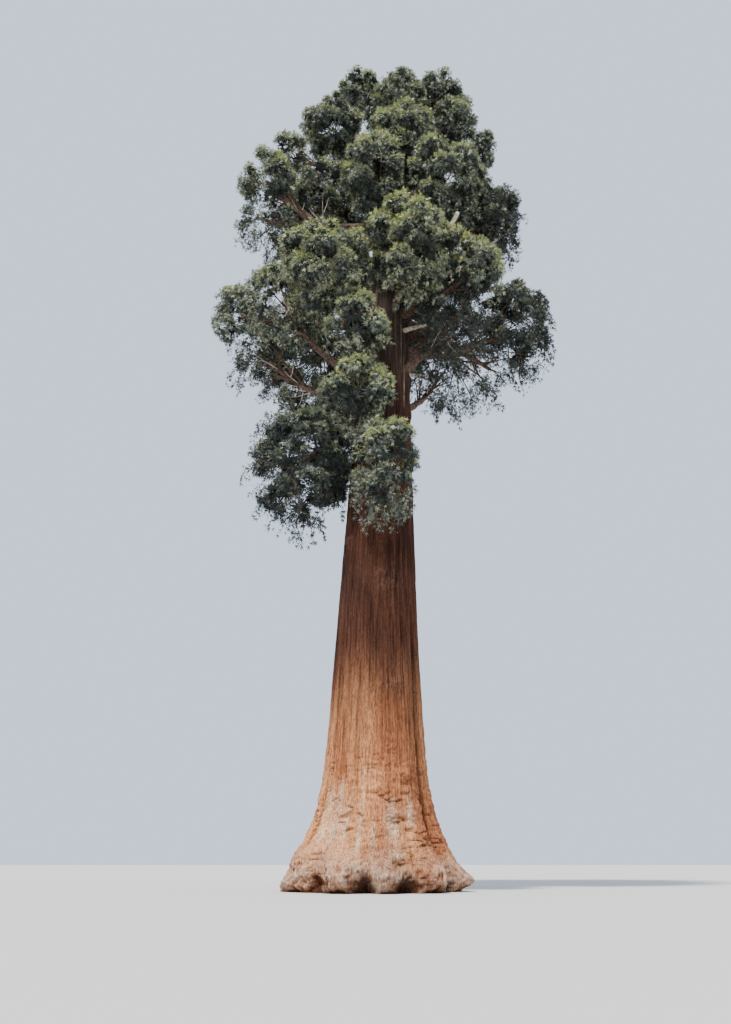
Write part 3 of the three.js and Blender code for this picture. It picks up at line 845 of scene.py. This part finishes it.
def bark_surface(height, angle):
    """Radius of the bark, and its marks: how dark with painted shade, how pale and how grey."""
    base = trunk_radius(height, angle)
    foot = bell(height, FOOT_HEIGHT, BLUNT)
    low = bell(height, BURL_HEIGHT, BLUNT)
    sway = bark_noise("sway", angle, height)
    swayed = angle + sway
    jag = bark_noise("jag", angle, height)
    flute = bark_noise("flute", swayed, height)
    furrow = patches("furrow", swayed, height)
    fibre = bark_noise("fibre", swayed, height)
    bent = height + WAVE_FLUTE * flute + WAVE_JAG * jag
    wave = bark_noise("wave", angle, bent) + bark_noise("ripple", angle, height)
    crack = bell(wave, CRACK_WIDTH) * patches("cracked", angle, height) * foot * (1 - BURL_WHOLE * low)
    craze = bark_noise("craze", angle, height + CRAZE_FLUTE * flute)
    lump = bark_noise("lump", angle, height)
    skin = bark_noise("skin", angle + SKIN_TURN * lump, height + SKIN_RISE * lump)
    pores = np.clip(-skin, 0, 1)
    hollow = hollows(height, angle)
    fold = bands(FOLDS, FOLD_FADES, height, angle + FOLD_SWAY * sway)
    ledge, shaded_gash = ledges(height, angle, jag)
    knot, knotty = knots(height, angle, base, lump)
    crooked = angle + STREAK_SWAY * sway + bark_noise("crook", angle, height)
    streak = bands(STREAKS, STREAK_FADES, height, crooked)
    pale = STREAK_STRENGTH * streak * patches("bleached", angle, height)
    relief = DEPTH.flute * flute + DEPTH.furrow * furrow * (1 - FOOT_SMOOTH * foot) + DEPTH.fibre * fibre
    relief = relief + foot * (1 - low) * (DEPTH.wave * wave + DEPTH.craze * craze)
    relief = relief + DEPTH.crack * crack + DEPTH.fold * fold + ledge + DEPTH.shaded_gash * shaded_gash
    relief = relief + low * (DEPTH.lump * lump + DEPTH.skin * skin) + DEPTH.hollow * hollow + knot
    # Painted shade in the pits of the crazing, lumps and skin, and in the furrows, cracks, hollows,
    # folds, gashes and the pores of the knots
    shaded_pits = foot * np.clip(-craze - CRAZE_PITS, 0, 1)
    shaded_pits = shaded_pits + low * (LUMP_PITS * np.clip(-lump, 0, 1) + SKIN_PITS * pores)
    dark = PAINTED_SHADE.furrow * furrow * (1 - FOOT_PALE * foot) + PAINTED_SHADE.crack * crack
    dark = dark + PAINTED_SHADE.hollow * hollow ** HOLLOW_FALL + PAINTED_SHADE.shaded_pits * shaded_pits
    dark = np.maximum(dark, np.maximum(PAINTED_SHADE.fold * fold, PAINTED_SHADE.shaded_gash * shaded_gash)) + PAINTED_SHADE.knot * knotty * pores
    grey = np.clip(GREY.even + GREY.lump * lump + GREY.skin * skin, 0, 1)
    grey = np.maximum(low, GREY.knot * knotty) * grey
    radius = base + relief * np.clip(base / FULL_RELIEF_RADIUS, LEAST_RELIEF, 1.0)
    return radius, np.clip(np.stack([dark, pale, grey], -1), 0, 1)


def trunk_piece(name, material):
    """A closed stretch of the trunk with its bark in relief."""
    lowest, highest, sides, rings = TRUNK_STRETCHES[name]
    heights = np.linspace(lowest, highest, rings)
    angles = np.arange(sides) * (2 * math.pi / sides)
    height, angle = np.meshgrid(heights, angles, indexing="ij")
    radius, marks = bark_surface(height, angle)
    points = trunk_axis(height) + radius[..., None] * facing(angle)
    tip = highest + (TIP_HEIGHT if highest > TIP_START else 0.0)
    ends = np.stack([trunk_axis(lowest), trunk_axis(tip)])
    rim = rings * sides
    middle = rim + 2 * sides
    under = fan(middle, rim, sides)[:, FLIPPED]
    over = fan(middle + 1, rim + sides, sides)
    triangles = np.concatenate([ring_triangles(rings, sides), under, over])
    points = np.concatenate([points.reshape(-1, 3), points[0], points[-1], ends])
    marks = np.concatenate([marks.reshape(-1, 3), marks[0], marks[-1], np.zeros((2, 3))])
    mesh = new_mesh(name, points, triangles, [material])
    paint_marks(mesh, marks)
    add_piece(mesh, ("trunk",) if lowest == 0 else ())


# Limbs


def limb_line(limb, share):
    """Points on a limb's line: out from the trunk's axis, sagging, then up to its end."""
    root, heading, reach, rise = limb
    start = trunk_axis(root)
    out = facing(math.radians(heading))
    elbow = start + LIMB_ELBOW * reach * out - LIMB_SAG * reach * UP
    end = start + reach * out + rise * UP
    return curve(start, elbow, end, np.asarray(share)[..., None])


def limb_radius(limb, share):
    """A limb's radius, which tapers from the collar where it leaves the trunk."""
    root, _, reach, _ = limb
    root_radius = LIMB_ROOT + LIMB_ROOT_PER_REACH * reach
    clear = np.maximum(share * reach - mean_radius(root), 0)
    collar = COLLAR * np.exp(-clear / (COLLAR_LENGTH * root_radius))
    return root_radius * (1 - LIMB_TAPER * share + collar)


def limb_tube(limb, seed):
    """A limb with small bends and an uneven girth."""
    share = np.linspace(0.0, 1.0, LIMB_STEPS)
    rng = np.random.RandomState(seed)
    bend = np.cumsum(rng.randn(LIMB_STEPS, 3) * LIMB_BEND, axis=0)
    line = limb_line(limb, share) + bend * np.sin(math.pi * share)[:, None]
    wobble = 1 + LIMB_WOBBLE * rng.randn(1, LIMB_STEPS, LIMB_SIDES)
    return tubes(line[None], limb_radius(limb, share)[None], LIMB_SIDES, wobble)


def twigs_between(starts, ends, tube, rng):
    """Twigs that bend a little from each start to its end."""
    length = np.linalg.norm(ends - starts, axis=1)
    middles = (starts + ends) / 2 + TWIG_BEND * length[:, None] * rng.randn(len(starts), 3)
    return curved_tubes(starts, middles, ends, tube)


def bare_twigs(rng):
    """Forked dead twigs off the limbs of the open masses, on the near side."""
    starts, ends = [], []
    for name, count in BARE_TWIGS.items():
        limb = LIMBS[NAMES.index(name)]
        start = limb_line(limb, spread(rng, count, least=0.45, more=0.5))
        out = unit((start - trunk_axis(start[:, 2])) * [1, 1, 0])
        along = unit(out + BARE_LEANING + BARE_TURN * rng.randn(count, 3))
        end = start + BARE_LENGTH * spread(rng, count, 1, least=0.6, more=0.6) * along
        fork = start + spread(rng, count, 1, least=0.3, more=0.3) * (end - start)
        aside = unit(along + BARE_FORK_TURN * rng.randn(count, 3))
        starts += [start, fork]
        ends += [end, fork + BARE_FORK_SHARE * BARE_LENGTH * aside]
    return twigs_between(np.concatenate(starts), np.concatenate(ends), BARE_TUBE, rng)


def stubs(rng):
    """Short dead stubs that stand out of the trunk."""
    heading, height, reach, rise = np.array(STUBS).T
    out = facing(np.radians(heading))
    axis = trunk_axis(height)
    starts = axis + STUB_ROOT * mean_radius(height)[:, None] * out
    ends = axis + reach[:, None] * out + rise[:, None] * UP
    return twigs_between(starts, ends, STUB_TUBE, rng)


# Tufts and clumps

NAMES = list(MASSES)
REGIONS, LIMBS, HALVES, OPENNESS, PAINTED_SUNLIGHT = zip(*MASSES.values())
MIDDLES = np.array([limb_line(limb, 1.0) for limb in LIMBS])
SIZES = np.array(HALVES)


def level_of(index, points):
    """How high points lie in a mass, from -1 to 1."""
    return (points[:, 2] - MIDDLES[index][2]) / SIZES[index][2]


def in_space(index, points, reach=1.0):
    """Whether points lie in a mass's own space, clear of the trunk and other masses."""
    depths = np.linalg.norm((points[:, None] - MIDDLES) / SIZES, axis=-1)
    own = depths[:, index].copy()
    depths[:, index] = np.inf
    apart = depths.min(axis=1) > own + SPACE_GAP
    height = np.clip(points[:, 2], 0, TRUNK_TIP)
    aside = np.hypot(*(points - trunk_axis(height))[:, :2].T)
    clear = (aside > mean_radius(height) + TRUNK_GAP) | (points[:, 2] > TRUNK_TIP)
    return (own <= reach) & apart & (points[:, 2] < TREE_TOP) & clear


def even_directions(count, turn):
    """Directions set evenly round a sphere."""
    k = np.arange(count)
    height = 1 - (2 * k + 1) / count
    ring = np.sqrt(1 - height ** 2)
    angle = turn + k * GOLDEN_ANGLE
    return np.stack([ring * np.cos(angle), ring * np.sin(angle), height], -1)


def tufts_of(index, size):
    """Directions, radii and middles of a mass's round tufts, as shares of its size."""
    roll = dice(index + 1)
    count = int(math.floor(TUFTS_PER_SQUARE_METRE * size ** 2 + 0.5))
    turn = 2 * math.pi * roll()
    turns, widths, depths = np.array([[roll() for _ in range(3)] for _ in range(count)]).T
    directions = even_directions(count, turn + TUFT_TURN * (turns - 0.5))
    radii = (TUFT_RADIUS / size) * (1 + TUFT_SPREAD * (widths - 0.5))
    return directions, radii, directions * (1 - TUFT_REACH * depths - radii)[:, None]


def tuft_clumps(k, tufts, size, rng):
    """Clumps over one tuft that no other hides: their middles as shares, and sizes."""
    directions, radii, middles = tufts
    around = even_directions(CLUMPS_PER_TUFT, 2 * math.pi * rng.rand())
    around = unit(around + CLUMP_TURN * rng.randn(*around.shape))
    clump = CLUMP_RADIUS * spread(rng, CLUMPS_PER_TUFT, least=0.7, more=0.6)
    seat = radii[k] - CLUMP_SEAT * clump / size
    points = middles[k] + seat[:, None] * around
    keep = around @ directions[k] > CLUMP_BACK
    for j, (middle, radius) in enumerate(zip(middles, radii)):
        if j != k:
            keep &= np.linalg.norm(points - middle, axis=1) > HIDDEN * radius
    keep &= np.linalg.norm(points, axis=1) < 1 - CLUMP_INSIDE * clump / size
    return points[keep], clump[keep]


def tip_clumps(rng):
    """Clumps round the trunk's tip: middles, the points they grow from, and sizes."""
    heights = np.linspace(*TIP_CLUMP_HEIGHTS, TIP_CLUMPS)
    axis = trunk_axis(heights)
    away = mean_radius(heights) + spread(rng, TIP_CLUMPS, least=0.35, more=0.2)
    places = axis + away[:, None] * facing(GOLDEN_ANGLE * np.arange(TIP_CLUMPS))
    return places, axis, np.full(TIP_CLUMPS, TIP_CLUMP_SIZE * CLUMP_RADIUS)


def clumps_of(index, rng):
    """Clumps over a mass (middles, tuft middles they grow from, sizes), and its tuft middles."""
    half = SIZES[index]
    size = float(np.cbrt(half.prod()))
    tufts = tufts_of(index, size)
    clumps = []
    for k, middle in enumerate(tufts[2]):
        points, sizes = tuft_clumps(k, tufts, size, rng)
        home = MIDDLES[index] + FOLIAGE_SHARE * middle * half
        places = MIDDLES[index] + FOLIAGE_SHARE * points * half
        clumps.append((places, np.tile(home, (len(points), 1)), sizes))
    if NAMES[index] == TIP_MASS:
        clumps.append(tip_clumps(rng))
    return [np.concatenate(arrays) for arrays in zip(*clumps)], MIDDLES[index] + tufts[2] * half


def sorted_clumps(index, clumps, rng):
    """Which clumps hang loose, and which are kept, as an open mass has fewer."""
    places, homes, _ = clumps
    openness = OPENNESS[index]
    level = level_of(index, places)
    fringe = FRINGE * np.clip(-level - FRINGE_START, 0, 1)
    under = np.clip((homes[:, 2] - places[:, 2]) / TUFT_RADIUS - UNDER_START, 0, 1)
    loose = rng.rand(len(places)) < openness * (LOOSE_MIDDLE - LOOSE_SLOPE * level) + fringe + under
    kept = rng.rand(len(places)) > THINNING * openness ** 2 * (1 - level)
    return loose, kept & in_space(index, places)


# Sprays


def spray_shape(lobes, width):
    """Pointed lobes off one root: points along, across and out of its plane, and triangles."""
    points, triangles = [], []
    for turn, length in lobes:
        along = np.array([math.cos(math.radians(turn)), math.sin(math.radians(turn))])
        across = 0.5 * width * np.array([-along[1], along[0]])
        shoulder = SHOULDER * length * along
        triangles.append((len(points), len(points) + 1, len(points) + 2))
        base = shoulder - across - SHOULDER_BACK * length * along
        for corner in (base, length * along, shoulder + across):
            points.append((corner[0], corner[1], -SPRAY_CUP * abs(corner[1])))
    return np.array(points), np.array(triangles)


# Lobes of a spray: the turn of each, and its length as a share
FINE_SPRAY = spray_shape([(-36, 0.82), (0, 1.0), (38, 0.76)], width=0.22)
BROAD_SPRAY = spray_shape([(-60, 0.6), (-30, 0.85), (0, 1.0), (27, 0.9), (56, 0.65)], width=0.28)


def sprays(kind, roots, along, faces, lengths, droop, rng):
    """Sprays that grow from their roots, each turned to its face, its end drawn down."""
    shape, lobes = kind
    side = unit(np.cross(along, faces))
    face = np.cross(side, along)
    bend = 1 + SPRAY_BEND * rng.randn(len(roots), 1)
    width = 1 + SPRAY_WIDTH * rng.randn(len(roots), 1)
    points = roots[:, None] + lengths[:, None, None] * (
        shape[None, :, :1] * along[:, None]
        + (shape[None, :, 1:2] * width[:, None]) * side[:, None]
        + (shape[None, :, 2:] * bend[:, None]) * face[:, None])
    points[..., 2] -= droop * lengths[:, None] * shape[None, :, 0] ** 2
    return points.reshape(-1, 3), copies(lobes, len(roots), len(shape))


def kept_sprays(
        index, roots, along, faces, lengths, looks, rng,
        kind=FINE_SPRAY, reach=REACH, droop=DROOP, drop=0.0):
    """The sprays that stay in the mass's space, or drop below it, and a look for each face."""
    lift = drop * UP
    tips = roots + lengths[:, None] * along
    free = in_space(index, tips + lift, reach + TIP_REACH) & in_space(index, roots + lift, reach)
    points, triangles = sprays(kind, roots[free], along[free], faces[free], lengths[free], droop, rng)
    return points, triangles, np.repeat(looks[free], len(kind[1]))


def looks_of(index, score, rng):
    """A look for each spray from how much light reaches it."""
    score = score + PAINTED_SUNLIGHT[index] + LOOK_SPREAD * rng.randn(len(score))
    looks = np.digitize(score, LOOK_LEVELS)
    looks[rng.rand(len(score)) < BROWN_SHARE] = BROWN
    return looks


def set_out(places, homes, counts):
    """Each clump's middle once for each of its sprays, and the way out from its tuft."""
    place = np.repeat(places, counts, axis=0)
    return place, unit(place - np.repeat(homes, counts, axis=0))


def domed_sprays(index, clumps, rng):
    """Sprays laid over clumps: all over the crown of each, sparser under it."""
    places, homes, sizes = clumps
    most = BACK_SPRAYS_PER_CLUMP if NAMES[index].startswith("back_") else SPRAYS_PER_CLUMP
    counts = np.maximum(LEAST_SPRAYS, (most * (sizes / CLUMP_RADIUS) ** 2).astype(int))
    place, outward = set_out(places, homes, counts)
    count = len(place)
    radius = np.repeat(sizes, counts)[:, None]
    swing = unit(rng.randn(count, 3) + DOME_OUTWARD * outward + DOME_UP * UP)
    swing[:, 2] = np.abs(swing[:, 2] + DOME_UNDER) - DOME_UNDER
    swing = unit(swing)
    down = unit(swing[:, 2:] * swing - UP)
    roots = place + radius * spread(rng, count, 1, least=0.4, more=0.55) * swing * [1, 1, DOME_HEIGHT]
    around = unit(np.cross(swing, rng.randn(count, 3)))
    along = unit(blend(DOME_ALONG, swing, around, down))
    faces = unit(swing + blend(DOME_FACES, outward, UP, rng.randn(count, 3)))
    fringe = np.clip(DOME_FRINGE - swing[:, 2], 0, DOME_FRINGE_MOST)
    lengths = SPRAY_LENGTH * (spread(rng, count, least=0.75, more=0.5) + DOME_FRINGE_LENGTH * fringe)
    outer = np.einsum("ij,ij->i", swing, outward)
    # Painted light and shade: lighter looks for sprays that face up and out
    score = blend(DOME_LIGHT, 1, swing[:, 2], outward[:, 2], outer)
    return kept_sprays(index, roots, along, faces, lengths, looks_of(index, score, rng), rng)


def shade_sprays(index, clumps, rng):
    """Larger sprays under the skin of each clump, dark with painted shade."""
    places, homes, sizes = clumps
    place, outward = set_out(places, homes, SHADE_SPRAYS)
    count = len(place)
    radius = np.repeat(sizes, SHADE_SPRAYS)[:, None]
    swing = unit(rng.randn(count, 3) + SHADE_OUTWARD * outward)
    around = unit(np.cross(swing, rng.randn(count, 3)))
    roots = place + SHADE_DEPTH * radius * swing - 0.5 * SHADE_LENGTH * around
    faces = unit(swing + SHADE_TURN * rng.randn(count, 3))
    length = SHADE_LENGTH * (1 - SHADE_THINNING * OPENNESS[index])
    lengths = length * spread(rng, count, least=0.8, more=0.5)
    looks = np.where(rng.rand(count) < SHADE_DEEP, SHADED_LOOK, SKY_SHADED_LOOK)
    along = unit(around + SHADE_TURN * swing)
    return kept_sprays(index, roots, along, faces, lengths, looks, rng, BROAD_SPRAY)


def strand_lines(index, clumps, rng):
    """Loose twigs that hang out of clumps: where each starts, bends and ends."""
    places, homes, _ = clumps
    place, outward = set_out(places, homes, STRANDS_PER_CLUMP)
    start = place + STRAND_START * rng.randn(len(place), 3)
    heading = unit(outward * [1, 1, STRAND_LEVEL] + STRAND_TURN * rng.randn(len(place), 3))
    length = STRAND_LENGTH * spread(rng, len(place), least=0.6, more=0.8)[:, None]
    middle = start + STRAND_KNEE * length * heading
    end = middle + STRAND_FALL * length * unit(STRAND_FORWARD * heading - UP)
    lift = HANGING_DROP * UP
    inside = in_space(index, end + lift, HANGING_REACH) & in_space(index, middle + lift, HANGING_REACH)
    return start[inside], middle[inside], end[inside]


def strands(index, clumps, rng):
    """Hanging twigs with small tufts of sprays along them."""
    start, middle, end = strand_lines(index, clumps, rng)
    tufts = (len(start), STRAND_SPRAYS, 1)
    at = rng.choice(STRAND_TUFTS, tufts) + STRAND_TUFT_SPREAD * rng.randn(*tufts)
    roots = curve(start[:, None], middle[:, None], end[:, None], at).reshape(-1, 3)
    swing = rng.randn(len(roots), 3)
    roots = roots + STRAND_TUFT_RADIUS * swing
    flow = np.repeat(unit(end - start), STRAND_SPRAYS, axis=0)
    along = unit(blend(STRAND_ALONG, flow, swing))
    faces = unit(UP + STRAND_FACE_TURN * rng.randn(len(roots), 3))
    lengths = STRAND_SPRAY_LENGTH * spread(rng, len(roots), least=0.7, more=0.6)
    # Painted light and shade: lighter looks for sprays high in the mass and facing up
    score = blend(STRAND_LIGHT, level_of(index, roots), faces[:, 2], 1)
    looks = looks_of(index, score, rng)
    leaves = kept_sprays(
        index, roots, along, faces, lengths, looks, rng,
        FINE_SPRAY, HANGING_REACH, HANGING_DROOP, HANGING_DROP)
    return leaves, curved_tubes(start, middle, end, STRAND_TUBE)


def inner_sprays(index, tuft_middles, rng):
    """Sprays inside the tufts, dark with painted shade, which close the view through a dense mass."""
    middles = np.repeat(tuft_middles, INNER_SPRAYS, axis=0)
    count = len(middles)
    along = unit(rng.randn(count, 3))
    faces = unit(rng.randn(count, 3))
    lengths = INNER_LENGTH * spread(rng, count, least=0.8, more=0.4)
    looks = np.full(count, SHADED_LOOK)
    roots = middles + INNER_START * along
    return kept_sprays(index, roots, along, faces, lengths, looks, rng, BROAD_SPRAY)


def branches_of(index, tuft_middles, rng):
    """Side branches from a mass's limb out to the middles of its tufts."""
    starts = limb_line(LIMBS[index], spread(rng, len(tuft_middles), least=0.55, more=0.43))
    return twigs_between(starts, tuft_middles, BRANCH_TUBE, rng)


def foliage_of(index):
    """The sprays of one mass with their looks, and its twigs."""
    rng = np.random.RandomState(FOLIAGE_SEED + index)
    clumps, tuft_middles = clumps_of(index, rng)
    loose, kept = sorted_clumps(index, clumps, rng)
    places, homes, _ = (array[kept] for array in clumps)
    closed, hanging = ([array[kept & which] for array in clumps] for which in (~loose, loose))
    leaves = [domed_sprays(index, closed, rng), shade_sprays(index, closed, rng)]
    roots = homes + TWIG_START * (places - homes)
    twigs = [twigs_between(roots, places, TWIG_TUBE, rng), branches_of(index, tuft_middles, rng)]
    if len(hanging[0]):
        hanging_leaves, hanging_twigs = strands(index, hanging, rng)
        leaves.append(hanging_leaves)
        twigs.append(hanging_twigs)
    filled = rng.rand(len(tuft_middles)) > UNFILLED * OPENNESS[index]
    if filled.any():
        leaves.append(inner_sprays(index, tuft_middles[filled], rng))
    return joined(leaves), joined(twigs)


# The scene


def dress_trunk():
    trunk_bark = bark_material()
    for name in TRUNK_STRETCHES:
        trunk_piece(name, trunk_bark)


def dress_limbs():
    """The boughs, one of which carries each mass, and the dead wood."""
    limb_bark = wood_material("limb_bark")
    dead_wood = wood_material("dead_wood")
    limbs = [limb_tube(limb, seed) for seed, limb in enumerate(LIMBS)]
    bough_nodes = [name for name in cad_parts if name.startswith("bough_")]
    add_piece(new_mesh("boughs", *joined(limbs), [limb_bark]), bough_nodes)
    for name, shape, nodes in (
            ("dead_snag", limb_tube(DEAD_LIMB, DEAD_LIMB_SEED), ("dead_limb",)),
            ("dead_twigs", bare_twigs(np.random.RandomState(BARE_SEED)), ()),
            ("dead_stubs", stubs(np.random.RandomState(STUB_SEED)), ())):
        add_piece(new_mesh(name, *shape, [dead_wood]), nodes)


def dress_foliage():
    """The leaves and the twigs of each region, each kind as one piece."""
    twig_bark = wood_material("twig_bark")
    leaf_materials = [leaf_material(name) for name in LEAVES]
    regions = {}
    for index, region in enumerate(REGIONS):
        regions.setdefault(region, []).append((NAMES[index], *foliage_of(index)))
    for region, grown in regions.items():
        points, triangles, looks = joined([leaves for _, leaves, _ in grown])
        mesh = new_mesh(f"leaves_{region}", points, triangles, leaf_materials, smooth=False)
        mesh.polygons.foreach_set("material_index", looks.astype(np.int32))
        add_piece(mesh, [f"foliage_{name}" for name, _, _ in grown])
        twigs = joined([twigs for _, _, twigs in grown])
        add_piece(new_mesh(f"twigs_{region}", *twigs, [twig_bark]))


def add_floor():
    reach = 2500.0
    level = -0.005
    mesh = bpy.data.meshes.new("floor")
    corners = [(x * reach, y * reach, level) for x, y in ((-1, -1), (1, -1), (1, 1), (-1, 1))]
    mesh.from_pydata(corners, [], [(0, 1, 2, 3)])
    pale, _, shader = new_material("floor_pale", roughness=0.9, specular=0.2)
    shader.inputs["Base Color"].default_value = (0.55, 0.54, 0.52, 1)
    mesh.materials.append(pale)
    placed("floor", mesh)


def add_lights():
    """Soft light from all round, and a soft key light from the upper left."""
    world = bpy.data.worlds.new("studio")
    world.use_nodes = True
    background = world.node_tree.nodes["Background"]
    background.inputs["Color"].default_value = (0.66, 0.76, 0.92, 1)
    background.inputs["Strength"].default_value = 1.45
    bpy.context.scene.world = world
    key = bpy.data.lights.new("key", "SUN")
    key.energy = 6.0
    key.angle = math.radians(6)
    key.color = (1.0, 0.95, 0.87)
    placed("key", key).rotation_euler = (math.radians(27), 0, math.radians(-36))


def add_camera():
    """The view from a person's height in front of the tree, up to its crown."""
    camera = bpy.data.cameras.new("view")
    focal_pixels = 720
    frame_pixels = 1024
    camera.sensor_width = 36
    camera.lens = focal_pixels / frame_pixels * camera.sensor_width
    camera.clip_end = 8000
    eye = placed("view", camera)
    eye.location = (-0.28, -24.3, 0.70)
    tilt = 26.1
    eye.rotation_euler = (math.radians(90 + tilt), 0, 0)
    bpy.context.scene.camera = eye


dress_trunk()
dress_limbs()
dress_foliage()
add_floor()
add_lights()
add_camera()
